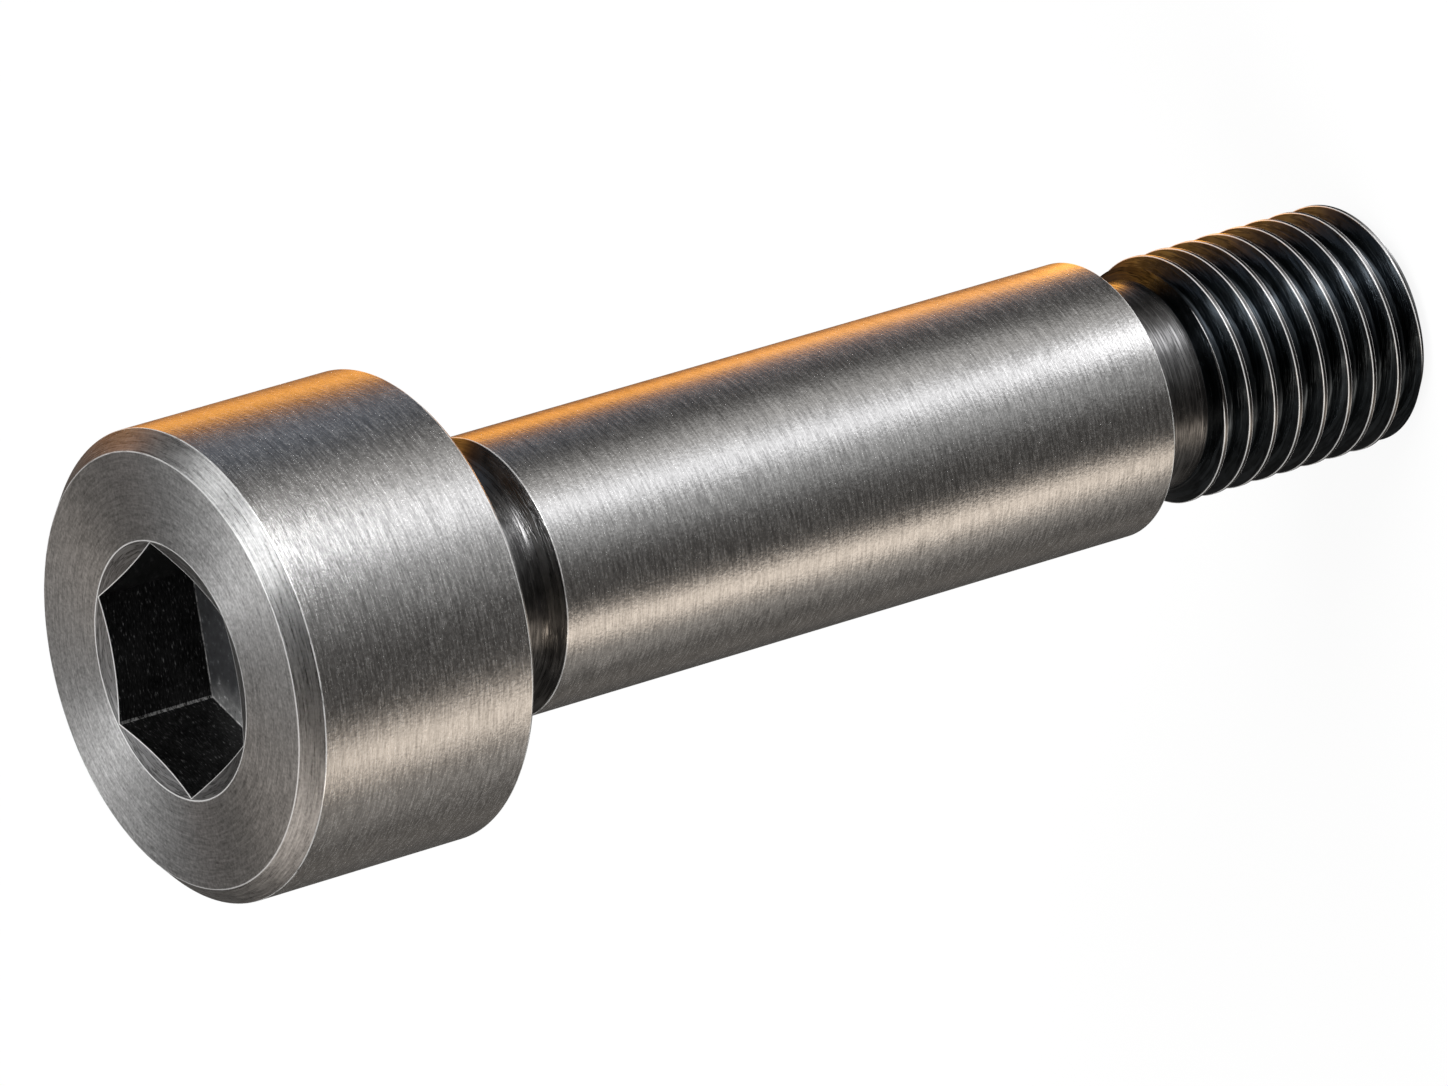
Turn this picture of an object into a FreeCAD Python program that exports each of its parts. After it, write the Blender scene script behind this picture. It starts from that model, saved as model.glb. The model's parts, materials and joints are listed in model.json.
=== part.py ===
import FreeCAD, Part
import math
import os

# Shoulder bolt, turned from one bar: a socket head, an undercut beneath it, a ground
# shoulder, a neck and a metric coarse thread. Millimetres, axis on +Z, threaded end at z = 0.

# Head
HEAD_D = 30.0
HEAD_H = 16.8
HEAD_CHAMFER = 1.2          # 45 degree cone round the socket end
HEAD_EDGE = 0.3             # broken edge at the bearing face

# Hexagon socket
HEX_ACROSS_FLATS = 14.0
HEX_DEPTH = 7.0
COUNTERSINK_MARGIN = 0.12   # from the hexagon's corners out to the countersink's rim
COUNTERSINK_ANGLE = 145.0   # included angle of the cone

# Undercut beneath the head
UNDERCUT_W = 6.4
UNDERCUT_DEPTH = 1.5        # below the shoulder's surface
UNDERCUT_ARC_R = 2.5        # hollow that runs up to the shoulder
UNDERCUT_CORNER = 0.5       # 45 degree cone in the corner at the bearing face

# Shoulder, measured from the bearing face as such bolts are sold
SHOULDER_D = 18.0
SHOULDER_L = 54.0
SHOULDER_EDGE = 0.25        # broken edges at both ends

# Neck between the shoulder and the thread
NECK_L = 4.1
NECK_CLEARANCE = 0.06       # the neck lies this far below the thread's root
NECK_FILLET_R = 0.8         # in the corner at the shoulder's end face

# Thread, 60 degree metric profile
THREAD_D = 16.0
THREAD_PITCH = 2.0
THREAD_L = 17.3
THREAD_LEAD_IN = 0.45       # axial length of the cone from the neck up to the crests
END_CHAMFER = 0.9           # 45 degree cone at the threaded end
FLANK_ANGLE = 30.0          # each flank to the plane across the axis
THREAD_START = 306.0        # direction in which the groove starts, from +X
POINTS_PER_TURN = 14        # support points of each helix

# Heights of the faces across the axis
NECK_Z = THREAD_L
SHOULDER_END_Z = NECK_Z + NECK_L
BEARING_Z = SHOULDER_END_Z + SHOULDER_L
SHOULDER_START_Z = BEARING_Z - UNDERCUT_W
TOP_Z = BEARING_Z + HEAD_H

# Radii that follow from the sizes above
HEAD_R = HEAD_D / 2
SHOULDER_R = SHOULDER_D / 2
CREST_R = THREAD_D / 2
FLANK_SLOPE = math.tan(math.radians(FLANK_ANGLE))
SHARP_DEPTH = THREAD_PITCH / 2 / FLANK_SLOPE
SHARP_ROOT_R = CREST_R + SHARP_DEPTH / 8 - SHARP_DEPTH
ROOT_R = SHARP_ROOT_R + SHARP_DEPTH / 4
NECK_R = ROOT_R - NECK_CLEARANCE
GROOVE_START_Z = -THREAD_PITCH
GROOVE_STANDOUT = THREAD_PITCH / 20
UNDERCUT_R = SHOULDER_R - UNDERCUT_DEPTH


def at(radius, height):
    """A point of a profile in the plane through the axis."""
    return FreeCAD.Vector(radius, 0, height)


def line(start, end):
    return Part.LineSegment(start, end).toShape()


def fillet_arc(corner, radius, to_start, to_end):
    """A quarter circle in a square corner, from the side to_start to the side to_end."""
    centre = corner + (to_start + to_end) * radius
    middle = centre - (to_start + to_end) * (radius * math.sqrt(0.5))
    return Part.Arc(corner + to_start * radius, middle, corner + to_end * radius).toShape()


def face_of(edges):
    return Part.Face(Part.Wire(edges))


def turned_blank():
    """The whole bolt as it leaves the lathe, before the socket and the thread are cut."""
    out = FreeCAD.Vector(1, 0, 0)
    up = FreeCAD.Vector(0, 0, 1)
    foot = at(CREST_R - END_CHAMFER, 0)
    crest_low = at(CREST_R, END_CHAMFER)
    crest_high = at(CREST_R, NECK_Z - THREAD_LEAD_IN)
    neck_low = at(NECK_R, NECK_Z)
    neck_corner = at(NECK_R, SHOULDER_END_Z)
    shoulder_end_in = at(SHOULDER_R - SHOULDER_EDGE, SHOULDER_END_Z)
    shoulder_end_out = at(SHOULDER_R, SHOULDER_END_Z + SHOULDER_EDGE)
    shoulder_start_out = at(SHOULDER_R, SHOULDER_START_Z - SHOULDER_EDGE)
    shoulder_start_in = at(SHOULDER_R - SHOULDER_EDGE, SHOULDER_START_Z)

    # The hollow is an arc tangent to the undercut's floor, which ends at the broken edge.
    rise = SHOULDER_R - SHOULDER_EDGE - UNDERCUT_R
    run = math.sqrt(UNDERCUT_ARC_R ** 2 - (UNDERCUT_ARC_R - rise) ** 2)
    hollow_end = at(UNDERCUT_R, SHOULDER_START_Z + run)
    hollow_centre = hollow_end + out * UNDERCUT_ARC_R
    half_turn = math.atan2(run, UNDERCUT_ARC_R - rise) / 2
    hollow_middle = hollow_centre - at(math.cos(half_turn), math.sin(half_turn)) * UNDERCUT_ARC_R
    undercut_high = at(UNDERCUT_R, BEARING_Z - UNDERCUT_CORNER)
    bearing_in = at(UNDERCUT_R + UNDERCUT_CORNER, BEARING_Z)
    bearing_rim = at(HEAD_R - HEAD_EDGE, BEARING_Z)
    head_low = at(HEAD_R, BEARING_Z + HEAD_EDGE)
    head_high = at(HEAD_R, TOP_Z - HEAD_CHAMFER)
    top_rim = at(HEAD_R - HEAD_CHAMFER, TOP_Z)

    edges = [
        line(at(0, 0), foot),
        line(foot, crest_low),
        line(crest_low, crest_high),
        line(crest_high, neck_low),
        line(neck_low, neck_corner - up * NECK_FILLET_R),
        fillet_arc(neck_corner, NECK_FILLET_R, up * -1, out),
        line(neck_corner + out * NECK_FILLET_R, shoulder_end_in),
        line(shoulder_end_in, shoulder_end_out),
        line(shoulder_end_out, shoulder_start_out),
        line(shoulder_start_out, shoulder_start_in),
        Part.Arc(shoulder_start_in, hollow_middle, hollow_end).toShape(),
        line(hollow_end, undercut_high),
        line(undercut_high, bearing_in),
        line(bearing_in, bearing_rim),
        line(bearing_rim, head_low),
        line(head_low, head_high),
        line(head_high, top_rim),
        line(top_rim, at(0, TOP_Z)),
        line(at(0, TOP_Z), at(0, 0)),
    ]
    return face_of(edges).revolve(FreeCAD.Vector(0, 0, 0), up, 360)


def hexagon_socket():
    """The broached hexagon with its flat floor, and the countersink round its mouth."""
    corner_r = HEX_ACROSS_FLATS / 2 / math.cos(math.radians(30))
    floor_z = TOP_Z - HEX_DEPTH
    corners = []
    for side in range(7):
        angle = math.radians(60 * side)
        corners.append(FreeCAD.Vector(corner_r * math.cos(angle), corner_r * math.sin(angle), floor_z))
    prism = Part.Face(Part.makePolygon(corners)).extrude(FreeCAD.Vector(0, 0, 2 * HEX_DEPTH))

    mouth_r = corner_r + COUNTERSINK_MARGIN
    slope = 1 / math.tan(math.radians(COUNTERSINK_ANGLE / 2))
    tip = at(0, TOP_Z - mouth_r * slope)
    wide = at(2 * mouth_r, TOP_Z + mouth_r * slope)
    cone_profile = face_of([line(tip, wide), line(wide, at(0, wide.z)), line(at(0, wide.z), tip)])
    cone = cone_profile.revolve(FreeCAD.Vector(0, 0, 0), FreeCAD.Vector(0, 0, 1), 360)
    mouth_zone = Part.makeCylinder(mouth_r + COUNTERSINK_MARGIN, 2 * HEX_DEPTH, at(0, floor_z))
    return prism.fuse(cone.common(mouth_zone))


def groove_point(radius, offset, turned):
    """A point of the groove's outline, offset along the axis, after turning up the helix."""
    angle = math.radians(THREAD_START) + turned
    height = GROOVE_START_Z + offset + THREAD_PITCH * turned / math.tau
    return FreeCAD.Vector(radius * math.cos(angle), radius * math.sin(angle), height)


def groove_edge(radius, offset, start, end):
    """The right-hand helix of one corner of the outline, as a smooth curve through its points."""
    steps = max(2, math.ceil(POINTS_PER_TURN * (end - start) / math.tau))
    turns = [start + (end - start) * step / steps for step in range(steps + 1)]
    forward = []
    for turned in (start, end):
        angle = math.radians(THREAD_START) + turned
        rise = THREAD_PITCH / math.tau
        forward.append(FreeCAD.Vector(-radius * math.sin(angle), radius * math.cos(angle), rise))
    curve = Part.BSplineCurve()
    curve.interpolate(
        Points=[groove_point(radius, offset, turned) for turned in turns],
        Parameters=turns,
        InitialTangent=forward[0],
        FinalTangent=forward[1],
        Scale=False,
    )
    return curve.toShape()


def thread_groove():
    """The V groove with a flat root, from below the threaded end up into the neck."""
    outside_r = CREST_R + GROOVE_STANDOUT
    half_mouth = (outside_r - SHARP_ROOT_R) * FLANK_SLOPE
    half_root = (ROOT_R - SHARP_ROOT_R) * FLANK_SLOPE
    outline = [
        (outside_r, -half_mouth),
        (ROOT_R, -half_root),
        (ROOT_R, half_root),
        (outside_r, half_mouth),
    ]
    last_turn = math.tau * (NECK_Z + THREAD_PITCH / 2 - GROOVE_START_Z) / THREAD_PITCH

    faces = []
    start = 0.0
    while start < last_turn:
        end = min(start + math.tau, last_turn)
        edges = [groove_edge(radius, offset, start, end) for radius, offset in outline]
        for index, edge in enumerate(edges):
            faces.append(Part.makeRuledSurface(edge, edges[index - 1]))
        start = end
    for turned in (0.0, last_turn):
        corners = [groove_point(radius, offset, turned) for radius, offset in outline]
        faces.append(Part.Face(Part.makePolygon(corners + corners[:1])))

    skin = Part.Compound(faces)
    skin.sewShape()
    groove = Part.Solid(skin.Shells[0])
    if groove.Volume < 0:
        groove.reverse()
    return groove


def shoulder_bolt():
    bolt = turned_blank().cut(hexagon_socket()).cut(thread_groove())
    return bolt.Solids[0]


def write_step(name, shape):
    os.makedirs("parts", exist_ok=True)
    shape.exportStep("parts/" + name + ".step")


bolt = shoulder_bolt()
write_step("shoulder_bolt", bolt)
print("shoulder_bolt: solids", len(bolt.Solids), "valid", bolt.isValid(), "volume", round(bolt.Volume, 1))
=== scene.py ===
import json
import math

import bmesh
import bpy
from mathutils import Matrix, Vector


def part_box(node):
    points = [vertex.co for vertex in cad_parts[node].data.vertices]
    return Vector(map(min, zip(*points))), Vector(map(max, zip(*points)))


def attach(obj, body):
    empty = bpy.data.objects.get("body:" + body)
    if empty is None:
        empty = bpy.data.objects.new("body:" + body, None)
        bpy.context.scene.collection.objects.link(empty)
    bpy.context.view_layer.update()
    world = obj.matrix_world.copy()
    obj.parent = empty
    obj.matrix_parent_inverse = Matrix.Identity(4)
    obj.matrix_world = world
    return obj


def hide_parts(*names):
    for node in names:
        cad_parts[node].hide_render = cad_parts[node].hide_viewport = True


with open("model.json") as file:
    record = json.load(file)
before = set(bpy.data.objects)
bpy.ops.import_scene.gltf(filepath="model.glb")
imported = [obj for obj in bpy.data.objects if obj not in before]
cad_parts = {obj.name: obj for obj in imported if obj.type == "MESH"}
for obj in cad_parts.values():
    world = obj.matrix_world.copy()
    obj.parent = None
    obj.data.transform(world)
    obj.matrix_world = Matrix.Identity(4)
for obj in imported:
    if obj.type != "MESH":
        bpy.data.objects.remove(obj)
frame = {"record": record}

# Shoulder bolt, standing on its threaded end. Metres, axis on +Z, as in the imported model.

MM = 0.001
DEG = math.pi / 180
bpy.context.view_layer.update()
upper_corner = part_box("shoulder_bolt")[1]
mounts = {mount["name"]: mount for mount in frame["record"]["mounts"]}

# Head
HEAD_R = upper_corner.x
TOP_Z = upper_corner.z
BEARING_Z = mounts["bearing_face"]["pos_m"][2]
HEAD_CHAMFER = 1.2 * MM
HEAD_EDGE = 0.3 * MM

# Hexagon socket
HEX_ACROSS_FLATS = 14.0 * MM
HEX_DEPTH = 7.0 * MM
COUNTERSINK_MARGIN = 0.12 * MM
COUNTERSINK_ANGLE = 145 * DEG
HEX_CORNER_ROUND = 0.12 * MM
HEX_CORNER_R = HEX_ACROSS_FLATS / 2 / math.cos(30 * DEG)
HEX_FLOOR_Z = TOP_Z - HEX_DEPTH
MOUTH_R = HEX_CORNER_R + COUNTERSINK_MARGIN
COUNTERSINK_SLOPE = 1 / math.tan(COUNTERSINK_ANGLE / 2)
COUNTERSINK_TIP_Z = TOP_Z - MOUTH_R * COUNTERSINK_SLOPE

# Undercut and shoulder
SHOULDER_R = mounts["shoulder"]["dims"]["r_mm"] * MM
SHOULDER_END_Z = mounts["shoulder_end_face"]["pos_m"][2]
UNDERCUT_WIDTH = 6.4 * MM
UNDERCUT_DEPTH = 1.5 * MM
SHOULDER_START_Z = BEARING_Z - UNDERCUT_WIDTH
SHOULDER_EDGE = 0.25 * MM
UNDERCUT_R = SHOULDER_R - UNDERCUT_DEPTH
UNDERCUT_ARC_R = 2.5 * MM
UNDERCUT_CORNER = 0.5 * MM

# Neck and thread
CREST_R = 8.0 * MM
PITCH = 2.0 * MM
NECK_Z = 17.3 * MM
THREAD_LEAD_IN = 0.45 * MM
END_CHAMFER = 0.9 * MM
NECK_FILLET_R = 0.8 * MM
NECK_BELOW_ROOT = 0.06 * MM
THREAD_START = 306 * DEG
FLANK_SLOPE = math.tan(30 * DEG)
CREST_FLAT = PITCH / 8
SHARP_DEPTH = PITCH / 2 / FLANK_SLOPE
SHARP_ROOT_R = CREST_R + SHARP_DEPTH / 8 - SHARP_DEPTH
ROOT_R = SHARP_ROOT_R + SHARP_DEPTH / 4
NECK_R = ROOT_R - NECK_BELOW_ROOT

# How finely round things are divided, and how far sharp edges are broken
TURN_STEPS = 192
ARC_STEP = 12 * DEG
FINE_BREAK = 0.08 * MM
HEAD_BREAK = 0.14 * MM
CREST_BREAK = 0.06 * MM
ROOT_ROUND = 0.22 * MM
MERGE = 0.001 * MM

# The thread groove's lips over the crest: their height, their width and the groove's outside
LIP_HEIGHT = 0.004 * MM
LIP_WIDTH = 0.08 * MM
GROOVE_OUTSIDE_R = CREST_R + PITCH / 20

# The photograph's view
CAMERA_AZIMUTH = 14 * DEG
CAMERA_ELEVATION = 32.6758 * DEG
CAMERA_ROLL = -106.5006 * DEG
CAMERA_DISTANCE = 0.933883
CAMERA_LENS = 380.37
CAMERA_SENSOR = 36
CAMERA_REACH = 20
AIM_AHEAD = Vector((-0.0021130, -0.0187032, 0.0630397))


# Modelling helpers

def rounded(corners):
    """The points of an outline through (radius, height, rounding) corners, with arcs in them."""
    points = []
    for index, (radius, height, rounding) in enumerate(corners):
        corner = Vector((radius, height))
        if not rounding:
            points.append(corner)
            continue
        before = Vector(corners[index - 1][:2]) - corner
        after = Vector(corners[(index + 1) % len(corners)][:2]) - corner
        before.normalize()
        after.normalize()
        half_angle = before.angle(after) / 2
        tangent = rounding / math.tan(half_angle)
        middle = (before + after).normalized()
        centre = corner + middle * (rounding / math.sin(half_angle))
        turn = math.pi - 2 * half_angle
        steps = max(2, math.ceil(turn / ARC_STEP))
        start = corner + before * tangent - centre
        end = corner + after * tangent - centre
        sweep = start.angle_signed(end)
        for step in range(steps + 1):
            angle = -sweep * step / steps
            spoke = Matrix.Rotation(angle, 2) @ start
            points.append(centre + spoke)
    return points


def deselect_all():
    bpy.ops.object.select_all(action="DESELECT")


def select_only(piece):
    deselect_all()
    piece.select_set(True)
    bpy.context.view_layer.objects.active = piece


def drawn_outline(name, points, closed):
    """A wire in the plane through the axis, drawn by extruding a vertex from point to point."""
    deselect_all()
    bpy.ops.mesh.primitive_plane_add(size=MM)
    wire = bpy.context.object
    wire.name = name
    bpy.ops.object.mode_set(mode="EDIT")
    bpy.ops.mesh.merge(type="CENTER")
    bpy.ops.transform.translate(value=(points[0].x, 0, points[0].y))
    for here, there in zip(points, points[1:]):
        step = (there.x - here.x, 0, there.y - here.y)
        bpy.ops.mesh.extrude_vertices_move(TRANSFORM_OT_translate={"value": step})
    if closed:
        mesh = bmesh.from_edit_mesh(wire.data)
        for vertex in mesh.verts:
            vertex.select = len(vertex.link_edges) == 1
        bmesh.update_edit_mesh(wire.data)
        bpy.ops.mesh.edge_face_add()
    bpy.ops.object.mode_set(mode="OBJECT")
    return wire


def closed_skin(piece):
    """Merges doubles, fills open ends and points the faces outwards."""
    select_only(piece)
    bpy.ops.object.mode_set(mode="EDIT")
    bpy.ops.mesh.select_all(action="SELECT")
    bpy.ops.mesh.remove_doubles(threshold=MERGE)
    bpy.ops.mesh.fill_holes(sides=0)
    bpy.ops.mesh.select_all(action="SELECT")
    bpy.ops.mesh.normals_make_consistent(inside=False)
    bpy.ops.object.mode_set(mode="OBJECT")


def apply_modifier(piece, modifier):
    select_only(piece)
    bpy.ops.object.modifier_apply(modifier=modifier.name)


def cut_away(piece, cutter):
    """Cuts the cutter's shape out of the piece and takes the cutter away."""
    cut = piece.modifiers.new("cut", "BOOLEAN")
    cut.operation = "DIFFERENCE"
    cut.solver = "EXACT"
    cut.object = cutter
    apply_modifier(piece, cut)
    bpy.data.objects.remove(cutter)


# The bolt

def turned_blank():
    """Head, undercut, shoulder, neck and thread blank as one outline spun round the axis."""
    hollow_rise = SHOULDER_R - SHOULDER_EDGE - UNDERCUT_R
    hollow_turn = math.acos(1 - hollow_rise / UNDERCUT_ARC_R)
    hollow_corner_z = SHOULDER_START_Z + hollow_rise / math.tan(hollow_turn)
    corners = [
        (0, 0, 0),
        (CREST_R - END_CHAMFER, 0, FINE_BREAK),
        (CREST_R, END_CHAMFER, FINE_BREAK),
        (CREST_R, NECK_Z - THREAD_LEAD_IN, FINE_BREAK),
        (NECK_R, NECK_Z, 0),
        (NECK_R, SHOULDER_END_Z, NECK_FILLET_R),
        (SHOULDER_R - SHOULDER_EDGE, SHOULDER_END_Z, FINE_BREAK),
        (SHOULDER_R, SHOULDER_END_Z + SHOULDER_EDGE, FINE_BREAK),
        (SHOULDER_R, SHOULDER_START_Z - SHOULDER_EDGE, FINE_BREAK),
        (SHOULDER_R - SHOULDER_EDGE, SHOULDER_START_Z, 0),
        (UNDERCUT_R, hollow_corner_z, UNDERCUT_ARC_R),
        (UNDERCUT_R, BEARING_Z - UNDERCUT_CORNER, FINE_BREAK),
        (UNDERCUT_R + UNDERCUT_CORNER, BEARING_Z, FINE_BREAK),
        (HEAD_R - HEAD_EDGE, BEARING_Z, FINE_BREAK),
        (HEAD_R, BEARING_Z + HEAD_EDGE, FINE_BREAK),
        (HEAD_R, TOP_Z - HEAD_CHAMFER, HEAD_BREAK),
        (HEAD_R - HEAD_CHAMFER, TOP_Z, HEAD_BREAK),
        (0, TOP_Z, 0),
    ]
    blank = drawn_outline("shoulder_bolt_body", rounded(corners), closed=False)
    bpy.ops.object.mode_set(mode="EDIT")
    bpy.ops.mesh.select_all(action="SELECT")
    bpy.ops.mesh.spin(steps=TURN_STEPS, angle=math.tau, center=(0, 0, 0), axis=(0, 0, 1))
    bpy.ops.object.mode_set(mode="OBJECT")
    closed_skin(blank)
    return blank


def thread_groove():
    """The groove's section with a round root and lips that round the crest, swept up the helix."""
    lip_r = CREST_R + LIP_HEIGHT
    half_root = (ROOT_R - SHARP_ROOT_R) * FLANK_SLOPE
    half_mouth = (lip_r - SHARP_ROOT_R) * FLANK_SLOPE
    half_lips = half_mouth + LIP_WIDTH
    corners = [
        (ROOT_R, -half_root, ROOT_ROUND),
        (ROOT_R, half_root, ROOT_ROUND),
        (lip_r, half_mouth, CREST_BREAK),
        (lip_r, half_lips, 0),
        (GROOVE_OUTSIDE_R, half_lips, 0),
        (GROOVE_OUTSIDE_R, -half_lips, 0),
        (lip_r, -half_lips, 0),
        (lip_r, -half_mouth, CREST_BREAK),
    ]
    groove = drawn_outline("thread_groove", rounded(corners), closed=True)
    half_step = math.tau / TURN_STEPS / 2
    groove.matrix_world = (
        Matrix.Rotation(THREAD_START + half_step, 4, "Z")
        @ Matrix.Translation((0, 0, PITCH * half_step / math.tau - PITCH))
    )
    select_only(groove)
    bpy.ops.object.transform_apply(location=True, rotation=True, scale=True)
    helix = groove.modifiers.new("helix", "SCREW")
    helix.axis = "Z"
    helix.angle = math.tau
    helix.screw_offset = PITCH
    helix.iterations = math.ceil((NECK_Z + PITCH) / PITCH)
    helix.steps = TURN_STEPS
    helix.render_steps = TURN_STEPS
    helix.use_smooth_shade = False
    apply_modifier(groove, helix)
    closed_skin(groove)
    return groove


def hexagon_broach():
    """The hexagon that is cut out of the head, with its upright edges rounded."""
    deselect_all()
    bpy.ops.mesh.primitive_cylinder_add(
        vertices=6,
        radius=HEX_CORNER_R,
        depth=2 * HEX_DEPTH,
        location=(0, 0, TOP_Z),
        rotation=(0, 0, 30 * DEG),
    )
    broach = bpy.context.object
    bpy.ops.object.transform_apply(location=True, rotation=True, scale=True)
    bpy.ops.object.mode_set(mode="EDIT")
    bpy.ops.mesh.select_all(action="DESELECT")
    mesh = bmesh.from_edit_mesh(broach.data)
    for edge in mesh.edges:
        upright = edge.verts[0].co.xy - edge.verts[1].co.xy
        edge.select = upright.length < MERGE
    bmesh.update_edit_mesh(broach.data)
    bpy.ops.mesh.bevel(offset=HEX_CORNER_ROUND, segments=4, affect="EDGES")
    bpy.ops.object.mode_set(mode="OBJECT")
    return broach


def countersink():
    """The cone that is cut out of the socket's mouth."""
    depth = 2 * MOUTH_R * COUNTERSINK_SLOPE
    deselect_all()
    bpy.ops.mesh.primitive_cone_add(
        vertices=TURN_STEPS,
        radius1=0,
        radius2=2 * MOUTH_R,
        depth=depth,
        location=(0, 0, COUNTERSINK_TIP_Z + depth / 2),
    )
    cone = bpy.context.object
    bpy.ops.object.transform_apply(location=True, rotation=True, scale=True)
    return cone


def shoulder_bolt():
    bolt = turned_blank()
    cut_away(bolt, thread_groove())
    cut_away(bolt, hexagon_broach())
    cut_away(bolt, countersink())
    select_only(bolt)
    bpy.ops.object.shade_smooth_by_angle(angle=30 * DEG)
    return bolt


# Shader maths

class Signal:
    """A socket that takes part in Python expressions, each of which adds its Math nodes."""

    def __init__(self, finish, socket):
        self.finish = finish
        self.socket = socket

    def maths(self, operation, first, second=0.0):
        return self.finish.node("Math", {0: first, 1: second}, operation=operation)

    def __add__(self, other):
        return self.maths("ADD", self, other)

    def __sub__(self, other):
        return self.maths("SUBTRACT", self, other)

    def __rsub__(self, other):
        return self.maths("SUBTRACT", other, self)

    def __mul__(self, other):
        return self.maths("MULTIPLY", self, other)

    def __truediv__(self, other):
        return self.maths("DIVIDE", self, other)

    def __pow__(self, other):
        return self.maths("POWER", self, other)

    def __abs__(self):
        return self.maths("ABSOLUTE", self)

    __radd__ = __add__


class Finish:
    """A node tree being written. node() adds any node and returns one of its outputs."""

    def __init__(self, owner):
        owner.use_nodes = True
        self.tree = owner.node_tree
        self.tree.nodes.clear()

    def node(self, kind, inputs=None, output=0, **settings):
        made = self.tree.nodes.new("ShaderNode" + kind)
        for name, value in settings.items():
            setattr(made, name, value)
        for key, value in (inputs or {}).items():
            socket = made.inputs[key]
            if isinstance(value, Signal):
                self.tree.links.new(value.socket, socket)
            else:
                socket.default_value = value
        if made.outputs:
            return Signal(self, made.outputs[output])

    def between(self, value, start, end):
        """0 up to start, 1 from end on, and a smooth rise between them."""
        return self.node(
            "MapRange",
            {"Value": value, "From Min": start, "From Max": end},
            interpolation_type="SMOOTHSTEP",
        )

    def larger(self, first, second):
        return self.node("Math", {0: first, 1: second}, operation="MAXIMUM")

    def scaled(self, colour, factor):
        return self.node("VectorMath", {0: colour, 3: factor}, operation="SCALE")

    def added(self, first, second):
        return self.node("VectorMath", {0: first, 1: second}, operation="ADD")

    def dot(self, vector, constant):
        inputs = {0: vector, 1: constant}
        return self.node("VectorMath", inputs, output="Value", operation="DOT_PRODUCT")

    def mixed(self, factor, first, second):
        """The first colour where the factor is 0 and the second where it is 1."""
        inputs = {0: factor}
        for slot, colour in ((6, first), (7, second)):
            inputs[slot] = (*colour, 1) if isinstance(colour, tuple) else colour
        return self.node("Mix", inputs, output=2, data_type="RGBA")


def new_finish(name):
    material = bpy.data.materials.new(name)
    return material, Finish(material)


def position(finish):
    """The object's x, y and z and the distance from the axis."""
    place = finish.node("TexCoord", output="Object")
    x, y, z = [finish.node("SeparateXYZ", {0: place}, output=axis) for axis in "XYZ"]
    radius = (x * x + y * y) ** 0.5
    return x, y, z, radius


def noise(finish, place, waves, detail=2.0, roughness=0.5):
    """Clouds round zero, about a fifth up and down.

    Waves are counted per metre: in the first two coordinates of the place, and in the third.
    """
    x, y, along = place
    level_waves, along_waves = waves
    vector = finish.node(
        "CombineXYZ",
        {0: x * level_waves, 1: y * level_waves, 2: along * along_waves},
    )
    clouds = finish.node(
        "TexNoise",
        {"Vector": vector, "Scale": 1.0, "Detail": detail, "Roughness": roughness},
    )
    return clouds - 0.5


# A mask for worn edges, along which a highlight is painted as well
def wear_and_highlight_edges(finish, radius, z, edges):
    """1 at the turned edges, given as (radius, height), and 0 at WEAR_AND_HIGHLIGHT_REACH from them."""
    wear_and_highlight = None
    for edge_radius, edge_z in edges:
        out = radius - edge_radius
        up = z - edge_z
        away = (out * out + up * up) ** 0.5
        here = finish.between(away, WEAR_AND_HIGHLIGHT_REACH, WEAR_AND_HIGHLIGHT_REACH / 3)
        wear_and_highlight = here if wear_and_highlight is None else finish.larger(wear_and_highlight, here)
    return wear_and_highlight


def at_hexagon(finish, x, y, reach):
    """1 at the outline of the hexagon socket and 0 at the reach outside it."""
    furthest = None
    for side in (30 * DEG, 90 * DEG, 150 * DEG):
        across = x * math.cos(side) + y * math.sin(side)
        away = abs(across)
        furthest = away if furthest is None else finish.larger(furthest, away)
    flat = HEX_ACROSS_FLATS / 2
    return finish.between(furthest, flat + reach, flat + reach / 4)


STEEL = (0.57, 0.565, 0.555)
# Bright steel for worn edges, also used as a painted highlight on edges and crests
WORN_AND_HIGHLIGHT_STEEL = (0.8, 0.795, 0.785)
COUNTERSUNK_STEEL = (0.25, 0.248, 0.246)
DARK_STEEL = (0.1, 0.099, 0.098)
NECK_STEEL = (0.15, 0.149, 0.148)
FLANK_STEEL = (0.043, 0.051, 0.058)
CREST_STEEL = (0.11, 0.109, 0.108)
BROACHED_WALL = (0.03, 0.03, 0.03)
BROACHED_FLOOR = (0.09, 0.092, 0.097)
# A patch of light painted on the socket's floor
PAINTED_LIGHT_FLOOR = (0.4, 0.4, 0.4)
# The reach of the worn and painted-highlight lines from an edge
WEAR_AND_HIGHLIGHT_REACH = 0.07 * MM

# The length over which one finish turns into the next, and the same at the end of the thread
BLEND = 1 * MM
FINE_BLEND = 0.1 * MM


def metal(finish, material, colour, roughness, burr, height, depth, anisotropic):
    """Steel whose marks run round the axis. Its burr scatters light, and its depth scales height."""
    bump = finish.node("Bump", {"Height": height, "Strength": 1.0, "Distance": depth})
    shader = finish.node(
        "BsdfPrincipled",
        {
            "Base Color": colour,
            "Metallic": 1 - burr,
            "Roughness": roughness,
            "Anisotropic": anisotropic,
            "Anisotropic Rotation": 0.25,
            "Normal": bump,
        },
    )
    finish.node("OutputMaterial", {"Surface": shader})
    return material


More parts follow.
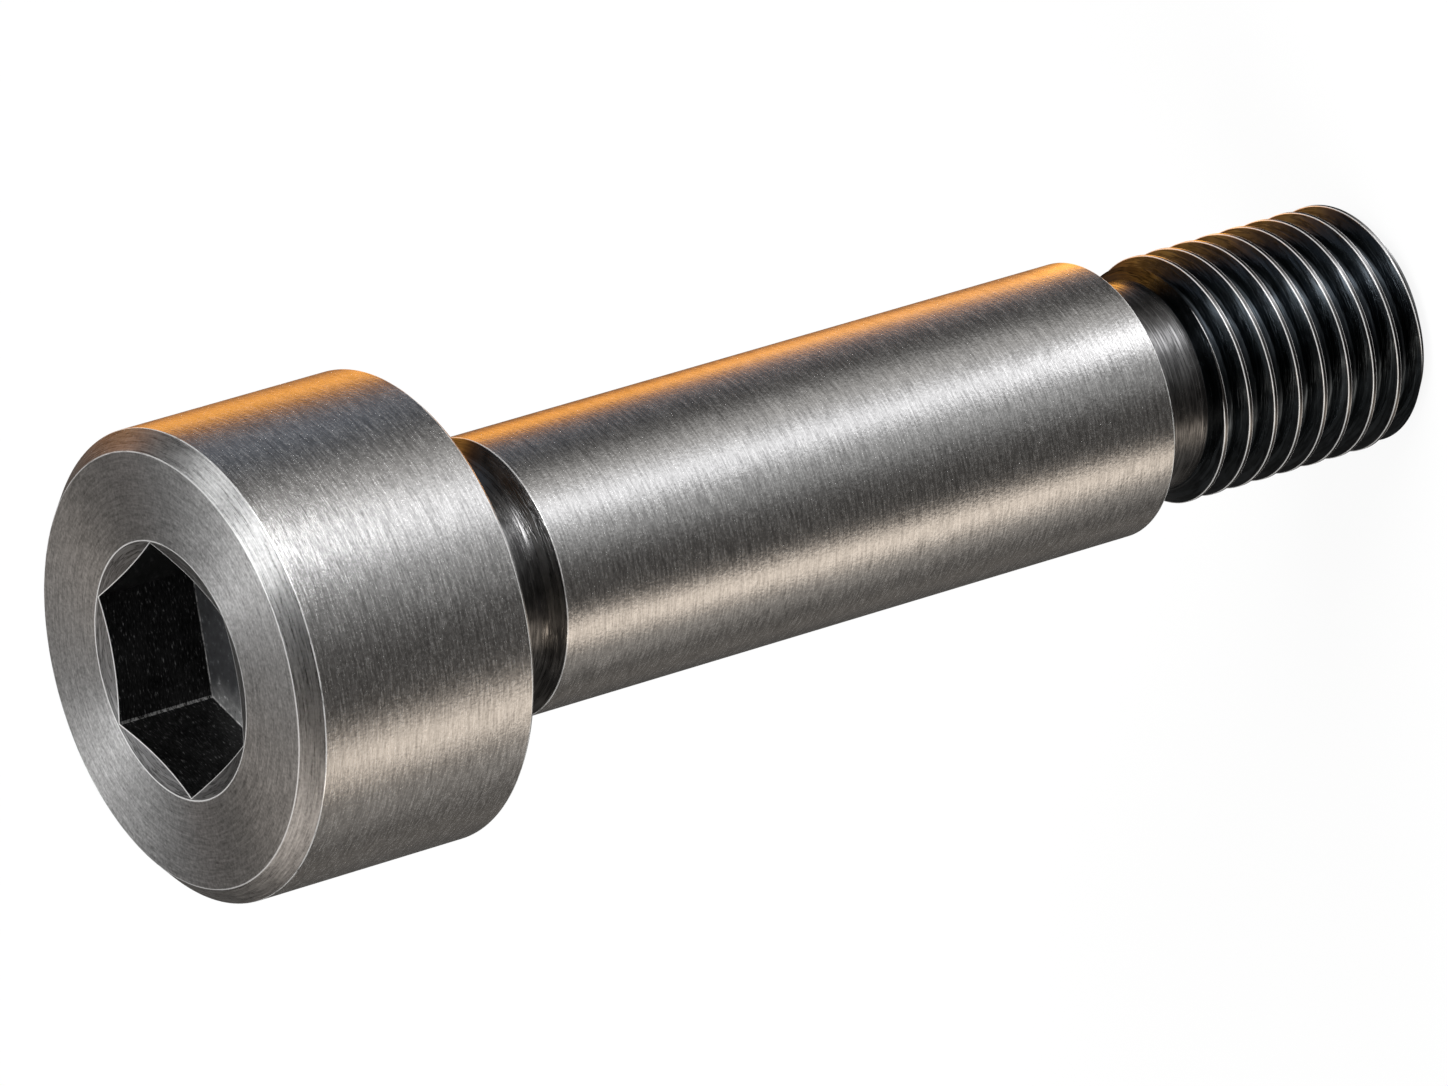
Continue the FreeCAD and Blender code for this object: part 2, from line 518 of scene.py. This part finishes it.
def ground_steel():
    """Head side and shoulder: short strokes round the bolt in a mottled grain."""
    material, finish = new_finish("ground_steel")
    x, y, z, radius = position(finish)
    on_head = finish.between(z, BEARING_Z - BLEND, BEARING_Z)
    strokes = noise(finish, (x, y, z), (800, 7500), detail=3.0, roughness=0.65)
    drawn = noise(finish, (x, y, z), (260, 3600))
    grain = noise(finish, (x, y, z), (4800, 5600), roughness=0.6)
    rims = [
        (HEAD_R, TOP_Z - HEAD_CHAMFER),
        (HEAD_R, BEARING_Z + HEAD_EDGE),
        (SHOULDER_R, SHOULDER_START_Z - SHOULDER_EDGE),
        (SHOULDER_R, SHOULDER_END_Z + SHOULDER_EDGE),
    ]
    # Rims brightened by wear and by a painted highlight
    wear_and_highlight = wear_and_highlight_edges(finish, radius, z, rims) * finish.between(strokes, -0.3, 0.0)
    marks = strokes * 1.4 + drawn * 0.4 + grain * 0.7
    scatter = finish.between(strokes + grain * 0.8, -0.15, 0.4) * (on_head * 0.03 + 0.06)
    colour = finish.mixed(wear_and_highlight, finish.scaled(STEEL, marks + 0.95), WORN_AND_HIGHLIGHT_STEEL)
    roughness = 0.24 + strokes * 0.25 + grain * 0.1
    burr = finish.larger(wear_and_highlight * 0.5, scatter)
    height = grain + strokes * 0.9
    return metal(
        finish, material, colour, roughness, burr, height, depth=0.016 * MM, anisotropic=0.6
    )


def chamfered_steel():
    """The cone round the socket end: long fine scratches, and both edges bright from wear and a
    painted highlight.
    """
    material, finish = new_finish("chamfered_steel")
    x, y, z, radius = position(finish)
    scratches = noise(finish, (x, y, z), (420, 11000), detail=3.0, roughness=0.7)
    grain = noise(finish, (x, y, z), (4500, 6500))
    rims = [(HEAD_R, TOP_Z - HEAD_CHAMFER), (HEAD_R - HEAD_CHAMFER, TOP_Z)]
    wear_and_highlight = wear_and_highlight_edges(finish, radius, z, rims) * finish.between(scratches, -0.3, 0.0)
    colour = finish.scaled(STEEL, scratches * 2.2 + grain * 0.8 + 0.95)
    colour = finish.mixed(wear_and_highlight, colour, WORN_AND_HIGHLIGHT_STEEL)
    roughness = 0.3 + scratches * 0.3
    burr = wear_and_highlight * 0.5
    height = scratches + grain
    return metal(
        finish, material, colour, roughness, burr, height, depth=0.006 * MM, anisotropic=0.5
    )


def faced_steel():
    """Head face: rings round the axis from the facing cut."""
    material, finish = new_finish("faced_steel")
    x, y, z, radius = position(finish)
    rings = noise(finish, (x, y, radius), (700, 7000), detail=3.0, roughness=0.65)
    grain = noise(finish, (x, y, z), (5200, 5200))
    rims = [(HEAD_R - HEAD_CHAMFER, TOP_Z), (MOUTH_R, TOP_Z)]
    # Rims brightened by wear and by a painted highlight
    wear_and_highlight = wear_and_highlight_edges(finish, radius, z, rims) * finish.between(rings, -0.3, 0.0)
    colour = finish.scaled(STEEL, rings * 1.3 + grain * 1.1 + 0.95)
    colour = finish.mixed(wear_and_highlight, colour, WORN_AND_HIGHLIGHT_STEEL)
    roughness = 0.45 + rings * 0.2
    burr = wear_and_highlight * 0.35
    height = rings + grain * 0.5
    return metal(
        finish, material, colour, roughness, burr, height, depth=0.006 * MM, anisotropic=0.9
    )


def countersunk_steel():
    """The cone at the socket's mouth: darker rings, and a burr along the hexagon, partly a painted
    highlight.
    """
    material, finish = new_finish("countersunk_steel")
    x, y, z, radius = position(finish)
    rings = noise(finish, (x, y, radius), (350, 5500), detail=3.0, roughness=0.6)
    # The hexagon's outline and the mouth's rim: burr and wear, partly a painted highlight
    wear_and_highlight = finish.larger(
        at_hexagon(finish, x, y, WEAR_AND_HIGHLIGHT_REACH),
        wear_and_highlight_edges(finish, radius, z, [(MOUTH_R, TOP_Z)]),
    )
    grooves = ridges(finish, rings, 0.05)
    ground = finish.scaled(COUNTERSUNK_STEEL, rings * 2.5 - grooves * 0.8 + 1.25)
    colour = finish.mixed(wear_and_highlight, ground, WORN_AND_HIGHLIGHT_STEEL)
    roughness = 0.4 + rings * 0.2
    burr = wear_and_highlight * 0.5
    height = rings
    return metal(
        finish, material, colour, roughness, burr, height, depth=0.006 * MM, anisotropic=0.5
    )


def crest_highlight_lines(finish, x, y, z, radius):
    """1 along both edges of the thread's crest, where a highlight is painted, and 1 on the flat
    between them.
    """
    angle = finish.node("Math", {0: y, 1: x}, operation="ARCTAN2")
    turns = z / PITCH - (angle - THREAD_START) / math.tau
    share = finish.node("Math", {0: turns}, operation="FRACT")
    from_middle = abs(share - 0.5) * PITCH
    from_edge = abs(from_middle - CREST_FLAT / 2)
    on_crest = finish.between(radius, CREST_R - 0.09 * MM, CREST_R - 0.06 * MM)
    on_crest = on_crest * finish.between(z, NECK_Z, NECK_Z - FINE_BLEND)
    lines = finish.between(from_edge, 0.04 * MM, 0.015 * MM) * on_crest
    return lines, on_crest


def ridges(finish, waves, width):
    """Thin lines where the noise crosses its middle."""
    return finish.between(abs(waves), width, 0)


def dark_steel():
    """Undercut, neck and thread: turned, dark, with highlights painted only on the crests' edges."""
    material, finish = new_finish("dark_turned_steel")
    x, y, z, radius = position(finish)
    lines = noise(finish, (x, y, z), (160, 5000), detail=3.0, roughness=0.6)
    clouds = noise(finish, (x, y, z), (1200, 2000), detail=3.0, roughness=0.6)
    grooves = ridges(finish, lines, 0.05)
    # Painted highlights along the crest's edges
    painted_crest_highlight, on_crest = crest_highlight_lines(finish, x, y, z, radius)
    in_thread = finish.between(z, NECK_Z + FINE_BLEND, NECK_Z)
    rims = [
        (SHOULDER_R - SHOULDER_EDGE, SHOULDER_END_Z),
        (SHOULDER_R, SHOULDER_START_Z - SHOULDER_EDGE),
    ]
    # Painted highlights on the crests, and the shoulder's rims bright from wear and a painted
    # highlight
    wear_and_highlight = finish.larger(painted_crest_highlight, wear_and_highlight_edges(finish, radius, z, rims))
    in_neck = finish.between(z, SHOULDER_END_Z + BLEND, SHOULDER_END_Z)
    ground = finish.mixed(in_neck, DARK_STEEL, NECK_STEEL)
    ground = finish.mixed(in_thread, ground, FLANK_STEEL)
    ground = finish.mixed(on_crest, ground, CREST_STEEL)
    colour = finish.scaled(ground, lines * 3.0 + clouds * 1.2 - grooves * 0.7 + 1.25)
    colour = finish.mixed(wear_and_highlight, colour, WORN_AND_HIGHLIGHT_STEEL)
    roughness = 0.16 + clouds * 0.15 + grooves * 0.1
    burr = wear_and_highlight * 0.55
    height = lines * 1.5 - grooves * 0.4 + clouds * 0.3
    return metal(
        finish, material, colour, roughness, burr, height, depth=0.012 * MM, anisotropic=0.3
    )


def broached_steel():
    """Socket walls and floor: dark, with short scratches, and painted highlights along their edges.

    Highlights are painted on the -x corners only, and a patch of light on the floor towards -x and
    +y.
    """
    material, finish = new_finish("broached_steel")
    x, y, z, radius = position(finish)
    scratches = noise(finish, (x, y, z), (2600, 9000), detail=3.0, roughness=0.65)
    clouds = noise(finish, (x, y, z), (600, 600))
    below_mouth = radius * COUNTERSINK_SLOPE - z + COUNTERSINK_TIP_Z
    lip = finish.between(below_mouth, 0.06 * MM, 0.02 * MM)
    foot = finish.between(z, HEX_FLOOR_Z + 0.09 * MM, HEX_FLOOR_Z + 0.03 * MM)
    at_wall = at_hexagon(finish, x, y, -0.09 * MM)
    # A highlight painted on the hexagon's upright corners, on the -x side only
    corners = finish.between(radius, HEX_CORNER_R - 0.07 * MM, HEX_CORNER_R - 0.045 * MM)
    corners = corners * finish.between(x, 1 * MM, -1 * MM)
    speckle = finish.between(scratches, -0.15, 0.1)
    # Painted highlights at the mouth's lip, which is also worn, along the floor's edge and on the
    # corners
    bright = finish.larger(lip, finish.larger(foot * at_wall, corners) * speckle * 0.6)
    on_floor = finish.between(z, HEX_FLOOR_Z + 0.1 * MM, HEX_FLOOR_Z + 0.02 * MM)
    # A patch of light painted on the floor towards -x and +y, with its scratches stronger
    painted_light_patch = finish.between(x + clouds * 3 * MM, -2.7 * MM, -4.6 * MM) * on_floor
    painted_light_patch = painted_light_patch * finish.between(y, 0.5 * MM, 3.5 * MM)
    ground = finish.mixed(on_floor, BROACHED_WALL, BROACHED_FLOOR)
    ground = finish.mixed(painted_light_patch, ground, PAINTED_LIGHT_FLOOR)
    flecks = finish.between(scratches, 0.08, 0.28) * (1 - on_floor * 0.8)
    marks = (scratches * 3.5 + clouds * 1.5) * (1 - on_floor * 0.7 + painted_light_patch * 0.2)
    colour = finish.scaled(ground, marks + flecks * 9 + 1)
    colour = finish.mixed(bright, colour, WORN_AND_HIGHLIGHT_STEEL)
    roughness = 0.32 + scratches * 0.2
    burr = finish.larger(bright * 0.8, on_floor * 0.2 + flecks * 0.3 + 0.15)
    height = scratches
    return metal(
        finish, material, colour, roughness, burr, height, depth=0.006 * MM, anisotropic=0.0
    )


GROUND, CHAMFERED, FACED, COUNTERSUNK, DARK, BROACHED = range(6)

# The upward part of a face's normal: up to the first on a wall, from the second on a cone, from
# the third on a level face
WALL_TILT, CONE_TILT, LEVEL_TILT = 0.3, 0.5, 0.8

# The undercut's finish starts on the small cone at the end of the shoulder
UNDERCUT_FINISH_Z = SHOULDER_START_Z - SHOULDER_EDGE * 0.6


def finish_bolt(bolt):
    """Gives each face the finish of its place on the bolt."""
    finishes = (
        ground_steel(),
        chamfered_steel(),
        faced_steel(),
        countersunk_steel(),
        dark_steel(),
        broached_steel(),
    )
    for material in finishes:
        bolt.data.materials.append(material)
    for face in bolt.data.polygons:
        spot = face.center
        radius = spot.xy.length
        tilt = abs(face.normal.z)
        if spot.z < SHOULDER_END_Z + MERGE:
            face.material_index = DARK
        elif UNDERCUT_FINISH_Z < spot.z < BEARING_Z - MERGE:
            face.material_index = DARK
        elif spot.z > BEARING_Z and radius < MOUTH_R + MERGE and tilt < WALL_TILT:
            face.material_index = BROACHED
        elif abs(spot.z - HEX_FLOOR_Z) < MERGE:
            face.material_index = BROACHED
        elif spot.z > BEARING_Z and radius < MOUTH_R - MERGE:
            face.material_index = COUNTERSUNK
        elif tilt > LEVEL_TILT:
            face.material_index = FACED
        elif spot.z > TOP_Z - HEAD_CHAMFER and tilt > CONE_TILT:
            face.material_index = CHAMFERED
        else:
            face.material_index = GROUND


# Floor, light, reflection cards and camera

FLOOR_SIZE = 6
FLOOR_GREY = (0.92, 0.92, 0.92, 1)
FLOOR_WHITE_SHARE = 0.9
WHITE = (1, 1, 1, 1)
SKY_ON_FLOOR = 0.35

# Lamps over the floor: name, place, size and watts
LAMPS = [
    ("key_lamp", (0.75, -0.3, 1.0), 0.8, 14),
    ("fill_lamp", (-0.6, -0.4, 0.9), 0.8, 7),
]


def seen_directly(finish):
    """1 on rays from the camera, a mirror or glass."""
    camera_ray = finish.node("LightPath", output="Is Camera Ray")
    glossy_ray = finish.node("LightPath", output="Is Glossy Ray")
    transmission_ray = finish.node("LightPath", output="Is Transmission Ray")
    return finish.larger(finish.larger(camera_ray, glossy_ray), transmission_ray)


def pale_floor():
    """A floor that looks nearly white and still shows a soft shadow."""
    deselect_all()
    bpy.ops.mesh.primitive_plane_add(size=FLOOR_SIZE)
    floor = bpy.context.object
    floor.name = "floor"
    material, finish = new_finish("pale_floor")
    shaded = finish.node("BsdfDiffuse", {"Color": FLOOR_GREY})
    white = finish.node("Emission", {"Color": WHITE, "Strength": 1.0})
    share = seen_directly(finish) * FLOOR_WHITE_SHARE
    look = finish.node("MixShader", {0: share, 1: shaded, 2: white})
    finish.node("OutputMaterial", {"Surface": look})
    floor.data.materials.append(material)


def studio_world():
    """A sky that looks white and lights the floor more weakly."""
    world = bpy.data.worlds.new("studio")
    bpy.context.scene.world = world
    finish = Finish(world)
    strength = SKY_ON_FLOOR + seen_directly(finish) * (1 - SKY_ON_FLOOR)
    sky = finish.node("Background", {"Color": WHITE, "Strength": strength})
    finish.node("OutputWorld", {"Surface": sky})
    world.cycles.sampling_method = "NONE"


def soft_lamp(name, place, size, power):
    """A square lamp that looks at the middle of the bolt. It lights the floor."""
    deselect_all()
    bpy.ops.object.light_add(type="AREA", location=place)
    lamp = bpy.context.object
    lamp.name = name
    lamp.data.size = size
    lamp.data.energy = power
    aim = Vector((0, 0, TOP_Z / 2)) - Vector(place)
    lamp.rotation_euler = aim.to_track_quat("-Z", "Y").to_euler()
    lamp.visible_glossy = False


DRUM_R = 40 * MM
DRUM_HEIGHT = 95 * MM
DRUM_FOOT_Z = 0.05 * MM
DRUM_SIDES = 128
LOW_CARD_Z = 22 * MM
HIGH_CARD_Z = 62 * MM

# Strips on the drum: azimuth from the camera at the low and the high level, half width, colour
STRIPS = [
    (-61, -55.5, 9, (1.38, 1.19, 1.01)),
    (-82, -82, 11, (0.26, 0.24, 0.22)),
    (-121, -116, 12, (0.08, 0.07, 0.06)),
    (34, 31, 10, (1.40, 1.41, 1.46)),
    (57, 48, 12, (0.52, 0.51, 0.50)),
    (10, 12, 13, (0.37, 0.375, 0.38)),
    (131, 125, 12, (1.30, 0.42, 0.0)),
    (128.5, 123, 5, (0.65, 0.40, 0.09)),
    (115, 90, 14, (0.12, 0.15, 0.20)),
]

# Where the strips fade upwards: from one height to another, by what share
STRIP_FADES = [
    (50 * MM, 60 * MM, 0.12),
    (74 * MM, 92 * MM, 0.75),
]

# Small bright cards round the drum's rim, which the undercut's hollow shows: azimuth, half
# width, colour
HIGH_CARDS = [
    (32, 10, (19.5, 19.5, 19.8)),
    (-60, 5, (5.2, 4.4, 3.6)),
]
HIGH_CARD_FOOT_Z = 87.5 * MM
HIGH_CARD_FULL_Z = HIGH_CARD_FOOT_Z + 1.5 * MM

# Cards on the drum's floor, which the neck and the thread show
CAP_CARDS = [
    (38, 10, (2.0, 2.0, 2.05)),
    (134, 12, (1.7, 0.72, 0.07)),
]
CAP_EDGE_R = 37.5 * MM
CAP_FULL_R = 35 * MM
CAP_STRIP_LOSS = 0.3

# The card's grey, of which a share is left on the drum's floor near the bolt
CARD_GREY = (0.091, 0.086, 0.082)
CAP_GREY_SHARE = 0.3
CAP_DARK_R = 16 * MM
CAP_GREY_R = 34 * MM

DOME_R = 1.2
DOME_FOOT_Z = 0.5 * MM
DOME_SEGMENTS = 96
DOME_RINGS = 48
DOME_GREY = (0.035, 0.035, 0.035)

# Soft boxes on the dome: azimuth from the camera, elevation, half width, colour
SOFT_BOXES = [
    (94, 34, 8, (1.47, 1.49, 1.51)),
    (51, 49, 10, (1.98, 2.0, 2.04)),
    (-115, 43, 25, (0.79, 0.71, 0.65)),
    (141, 6, 9, (0.40, 0.13, 0.02)),
    (97, 74, 7, (5.5, 5.5, 5.6)),
]

# The long soft box over the top of the bolt, in directions from the dome's middle
BAR_TURN = 32
BAR_HALF_WIDTH = 0.345
BAR_SHIFT = -0.075
BAR_FADE = 0.3
BAR_LIGHT = (0.69, 0.695, 0.71)


def card_direction(azimuth, elevation=0.0):
    """The direction at an azimuth from the camera and an elevation, in degrees."""
    angle = CAMERA_AZIMUTH + azimuth * DEG
    level = math.cos(elevation * DEG)
    return math.sin(angle) * level, -math.cos(angle) * level, math.sin(elevation * DEG)


def bell(finish, cosine, half_width):
    """A soft spot of light: half as bright at half_width degrees from its middle."""
    sharpness = math.log(2) / (1 - math.cos(half_width * DEG))
    return finish.node("Math", {0: (cosine - 1) * sharpness}, operation="EXPONENT")


def glowing_card(card, finish, light):
    """Makes a card that only the metal's reflections show."""
    shader = finish.node("Emission", {"Color": light, "Strength": 1.0})
    finish.node("OutputMaterial", {"Surface": shader})
    material = card.data.materials[0]
    material.cycles.emission_sampling = "NONE"
    card.visible_camera = False
    card.visible_diffuse = False
    card.visible_transmission = False
    card.visible_shadow = False
    card.visible_volume_scatter = False


def card_drum():
    """An open drum of dark card round the bolt, with pale and amber strips up it."""
    deselect_all()
    bpy.ops.mesh.primitive_cylinder_add(
        vertices=DRUM_SIDES,
        radius=DRUM_R,
        depth=DRUM_HEIGHT,
        location=(0, 0, DRUM_HEIGHT / 2 + DRUM_FOOT_Z),
    )
    drum = bpy.context.object
    drum.name = "card_drum"
    bpy.ops.object.transform_apply(location=True, rotation=True, scale=True)
    bpy.ops.object.mode_set(mode="EDIT")
    bpy.ops.mesh.select_all(action="DESELECT")
    mesh = bmesh.from_edit_mesh(drum.data)
    for face in mesh.faces:
        face.select = face.normal.z > LEVEL_TILT
    bmesh.update_edit_mesh(drum.data)
    bpy.ops.mesh.delete(type="ONLY_FACE")
    bpy.ops.object.mode_set(mode="OBJECT")

    material, finish = new_finish("card_drum")
    drum.data.materials.append(material)
    x, y, z, radius = position(finish)
    level = finish.node("MapRange", {"Value": z, "From Min": LOW_CARD_Z, "From Max": HIGH_CARD_Z})
    direction = finish.node("CombineXYZ", {0: x / radius, 1: y / radius, 2: 0.0})
    light = None
    for low_azimuth, high_azimuth, half_width, colour in STRIPS:
        foot = card_direction(low_azimuth)
        nearness = finish.dot(direction, foot)
        if high_azimuth != low_azimuth:
            head = card_direction(high_azimuth)
            nearness = nearness * (1 - level) + finish.dot(direction, head) * level
        glow = finish.scaled(colour, bell(finish, nearness, half_width))
        light = glow if light is None else finish.added(light, glow)
    fade = 1
    for start_z, end_z, loss in STRIP_FADES:
        fade = fade - finish.between(z, start_z, end_z) * loss
    light = finish.scaled(light, fade)
    on_rim = finish.between(z, HIGH_CARD_FOOT_Z, HIGH_CARD_FULL_Z)
    on_cap = finish.between(radius, CAP_EDGE_R, CAP_FULL_R)
    light = finish.scaled(light, 1 - on_cap * CAP_STRIP_LOSS)
    for cards, share in ((HIGH_CARDS, on_rim), (CAP_CARDS, on_cap)):
        for azimuth, half_width, colour in cards:
            glow = bell(finish, finish.dot(direction, card_direction(azimuth)), half_width)
            light = finish.added(light, finish.scaled(colour, glow * share))
    outer = finish.between(radius, CAP_DARK_R, CAP_GREY_R)
    grey = outer * (1 - CAP_GREY_SHARE) + CAP_GREY_SHARE
    light = finish.added(light, finish.scaled(CARD_GREY, grey))
    glowing_card(drum, finish, light)


def soft_box_dome():
    """A wide dark dome over the drum, with soft boxes for the head's face and chamfer."""
    deselect_all()
    bpy.ops.mesh.primitive_uv_sphere_add(
        segments=DOME_SEGMENTS, ring_count=DOME_RINGS, radius=DOME_R, location=(0, 0, TOP_Z)
    )
    dome = bpy.context.object
    dome.name = "soft_box_dome"
    bpy.ops.object.transform_apply(location=True, rotation=True, scale=True)
    bpy.ops.object.mode_set(mode="EDIT")
    bpy.ops.mesh.select_all(action="SELECT")
    bpy.ops.mesh.bisect(plane_co=(0, 0, DOME_FOOT_Z), plane_no=(0, 0, 1), clear_inner=True)
    bpy.ops.object.mode_set(mode="OBJECT")

    material, finish = new_finish("soft_box_dome")
    dome.data.materials.append(material)
    x, y, z, _ = position(finish)
    direction = finish.node("CombineXYZ", {0: x / DOME_R, 1: y / DOME_R, 2: (z - TOP_Z) / DOME_R})

    mirrored = math.cos(CAMERA_ELEVATION)
    lean = BAR_TURN * DEG
    middle = mirrored * math.sin(lean) + BAR_SHIFT
    across = finish.dot(direction, card_direction(BAR_TURN + 90)) - middle
    along = finish.dot(direction, card_direction(BAR_TURN)) + mirrored * math.cos(lean)
    spread = across * across * (-math.log(2) / BAR_HALF_WIDTH ** 2)
    bar = finish.node("Math", {0: spread}, operation="EXPONENT")
    bar = bar * finish.between(along, 0, BAR_FADE)
    light = finish.added(finish.scaled(BAR_LIGHT, bar), DOME_GREY)
    for azimuth, elevation, half_width, colour in SOFT_BOXES:
        nearness = finish.dot(direction, card_direction(azimuth, elevation))
        light = finish.added(light, finish.scaled(colour, bell(finish, nearness, half_width)))
    glowing_card(dome, finish, light)


def photo_camera():
    """The camera that was fitted to the photograph."""
    data = bpy.data.cameras.new("camera")
    data.lens = CAMERA_LENS
    data.sensor_width = CAMERA_SENSOR
    data.clip_end = CAMERA_REACH
    camera = bpy.data.objects.new("camera", data)
    bpy.context.scene.collection.objects.link(camera)
    turn = Matrix.Rotation(CAMERA_AZIMUTH, 4, "Z")
    look = turn @ Matrix.Rotation(90 * DEG - CAMERA_ELEVATION, 4, "X")
    aim = turn @ AIM_AHEAD
    away = look.to_3x3() @ Vector((0, 0, CAMERA_DISTANCE))
    camera.matrix_world = (
        Matrix.Translation(aim + away) @ look @ Matrix.Rotation(CAMERA_ROLL, 4, "Z")
    )
    bpy.context.scene.camera = camera


bpy.context.scene.view_settings.view_transform = "Standard"
photo_camera()
bolt = shoulder_bolt()
finish_bolt(bolt)
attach(bolt, "root")
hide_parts("shoulder_bolt")

pale_floor()
studio_world()
for lamp in LAMPS:
    soft_lamp(*lamp)
card_drum()
soft_box_dome()
